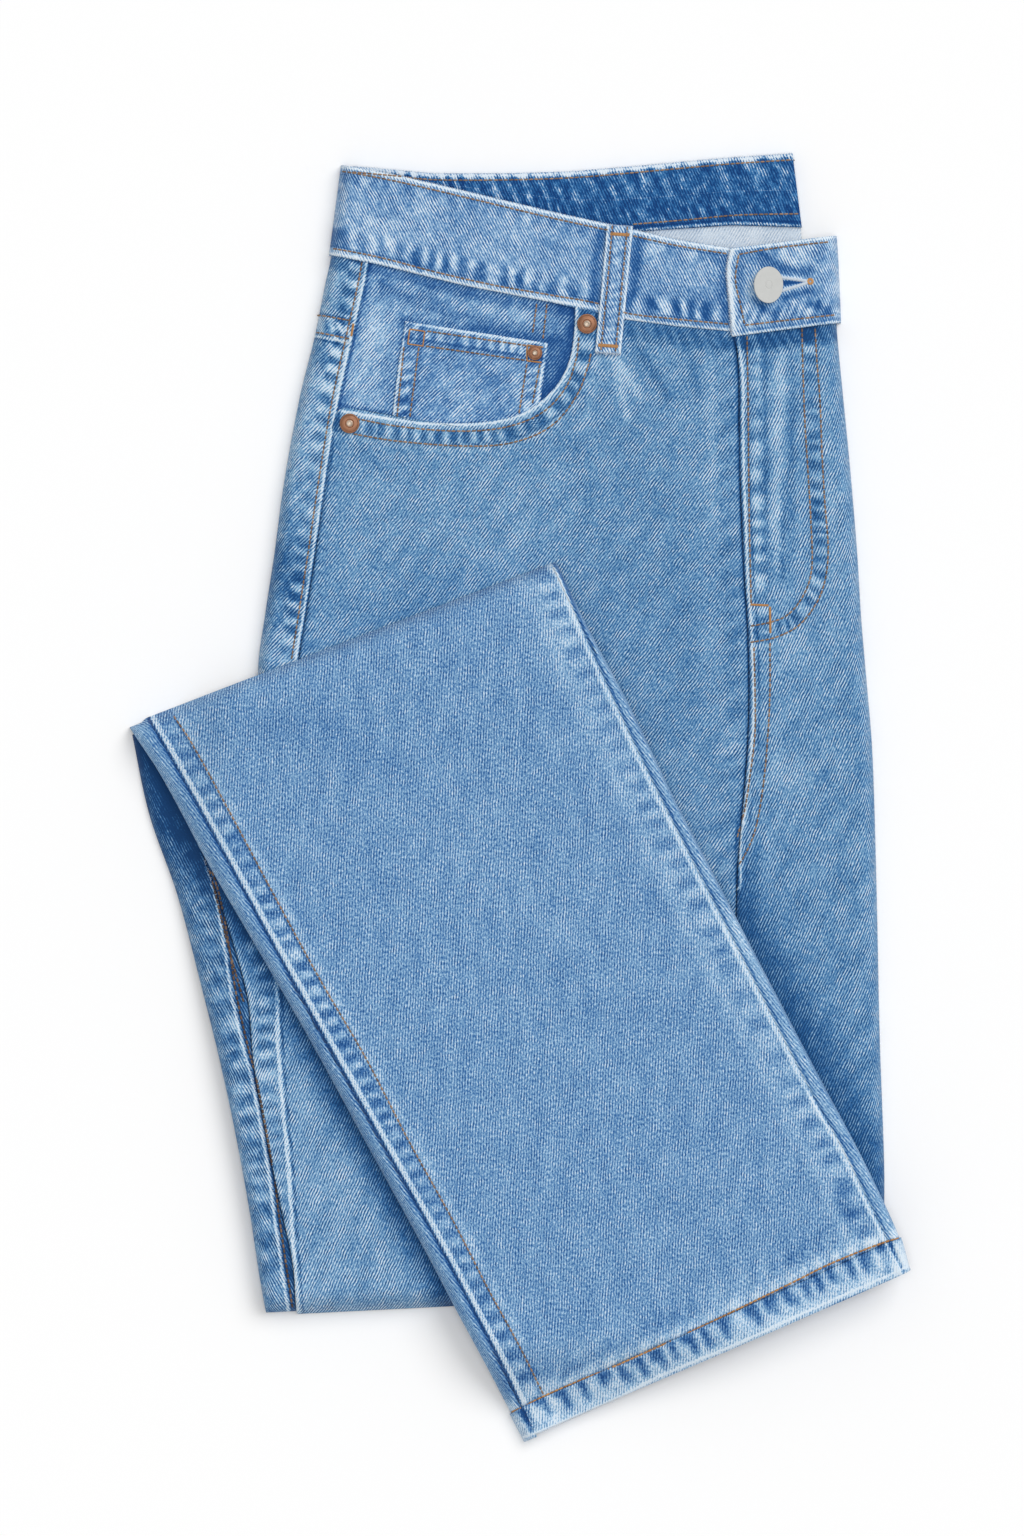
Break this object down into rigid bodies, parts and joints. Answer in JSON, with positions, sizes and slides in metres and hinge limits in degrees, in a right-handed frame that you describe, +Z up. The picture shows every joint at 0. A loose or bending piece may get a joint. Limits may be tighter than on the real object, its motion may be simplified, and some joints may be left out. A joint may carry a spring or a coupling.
{
  "type": "baggy jeans",
  "caption": "Baggy washed denim jeans folded flat, front up, both legs folded over the thighs and down again, with waistband, fly button, pocket, coin pocket and hem.",
  "frame": {"origin": "centre of the footprint on the ground, under the folded garment", "axes": "+Z up from the ground, +Y towards the waistband, +X towards the wearer's left side"},
  "size_m": [0.3704, 0.6118, 0.0265],
  "materials": {
    "denim": "washed indigo twill, matte",
    "denim_leg": "washed indigo twill, matte",
    "denim_band": "worn lighter twill, matte",
    "denim_pocket": "worn lighter twill, matte",
    "denim_dark": "less worn dark twill, matte",
    "denim_wrong_side": "pale wrong side of the twill, matte",
    "denim_under": "washed indigo twill in shade, matte",
    "denim_layers": "layers of the same cloth",
    "button_metal": "satin silver",
    "copper": "worn copper"
  },
  "bodies": {
    "root": {"front_right_panel": "denim", "front_left_panel": "denim", "back_right_panel": "denim", "yoke": "denim", "yoke_inside": "denim_wrong_side", "pocket_facing": "denim_pocket", "coin_pocket": "denim_pocket", "waistband_front": "denim_band", "waistband_left_end": "denim_band", "waistband_back": "denim_dark", "belt_loop": "denim_band", "right_knee_back": "denim", "left_knee_front": "denim", "right_leg_front": "denim_leg", "right_leg_back_outer": "denim_leg", "right_leg_back_inner": "denim_leg", "right_hem": "denim_leg", "right_hem_back": "denim_under", "left_hem": "denim_under", "hidden_thighs": "denim_layers", "hidden_waist": "denim_layers", "hidden_knees": "denim_layers", "hidden_ends": "denim_layers", "button": "button_metal", "rivet_outer": "copper", "rivet_opening": "copper", "rivet_coin": "copper"}
  },
  "joints": []
}
